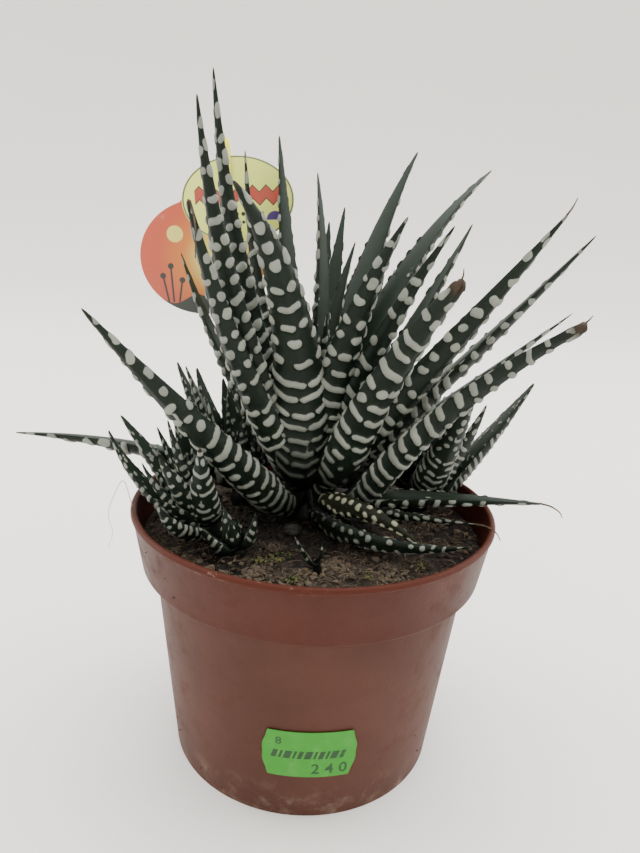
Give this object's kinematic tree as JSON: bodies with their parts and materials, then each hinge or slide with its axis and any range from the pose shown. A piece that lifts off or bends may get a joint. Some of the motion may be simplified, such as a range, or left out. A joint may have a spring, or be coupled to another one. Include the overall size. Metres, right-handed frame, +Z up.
{
  "type": "potted haworthia",
  "caption": "Striped haworthia: one large rosette of keeled pointed leaves with raised white bands and small offsets, in a round nursery pot with a care card on a stake.",
  "frame": {"origin": "middle of the pot's foot, on the surface that it stands on", "axes": "+Z up, -Y towards the viewer of the picture, +X to the viewer's right"},
  "size_m": [0.1646, 0.1397, 0.1991],
  "materials": {
    "pot": "satin terracotta-brown moulded plastic",
    "soil": "loose dark potting compost",
    "leaf": "satin dark green succulent leaf with raised white bands",
    "stake": "translucent yellow moulded plastic",
    "card": "printed plastic card",
    "price_label": "bright green gummed paper",
    "perlite": "pale porous grain"
  },
  "bodies": {
    "root": {"pot": "pot", "soil": "soil", "main_rosette": "leaf", "left_offset": "leaf", "left_front_offset": "leaf", "left_back_offset": "leaf", "right_offset": "leaf", "right_back_offset": "leaf", "back_offset": "leaf", "front_seedling": "leaf", "label_stake": "stake", "label_card": "card", "price_label": "price_label", "perlite_lump": "perlite"}
  },
  "joints": []
}
